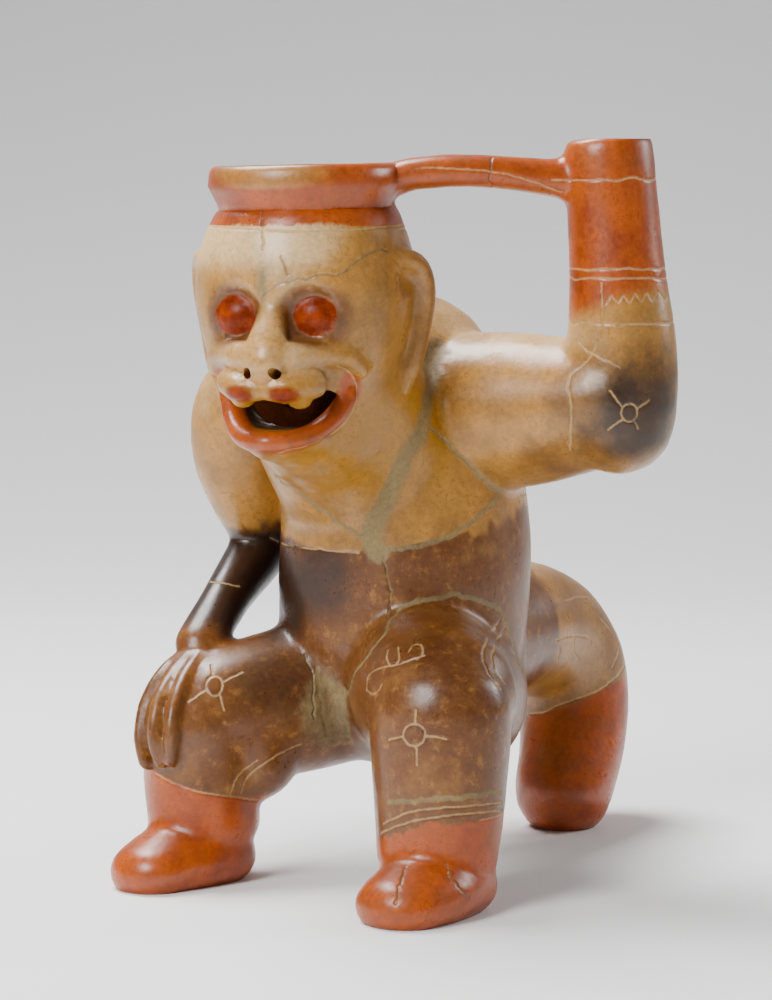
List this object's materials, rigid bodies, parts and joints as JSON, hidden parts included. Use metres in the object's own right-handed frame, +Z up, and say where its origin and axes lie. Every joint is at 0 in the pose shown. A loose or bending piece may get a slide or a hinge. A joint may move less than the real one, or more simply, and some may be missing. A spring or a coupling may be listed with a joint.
{
  "type": "effigy vessel",
  "caption": "Hollow burnished clay vessel shaped as a crouching animal-headed figure, open at the crown and at a raised arm that is a spout, joined by a bar handle.",
  "frame": {"origin": "on the floor under the middle of the vessel's box", "axes": "+Z up, from the feet to the spout's rim; the figure faces -Y; +X is the figure's left, the side of the raised arm and spout"},
  "size_m": [0.2356, 0.3, 0.34],
  "materials": {
    "clay": "burnished slip in brown, cream and red-orange, soft gloss"
  },
  "bodies": {
    "root": {"effigy_vessel": "clay"}
  },
  "joints": []
}
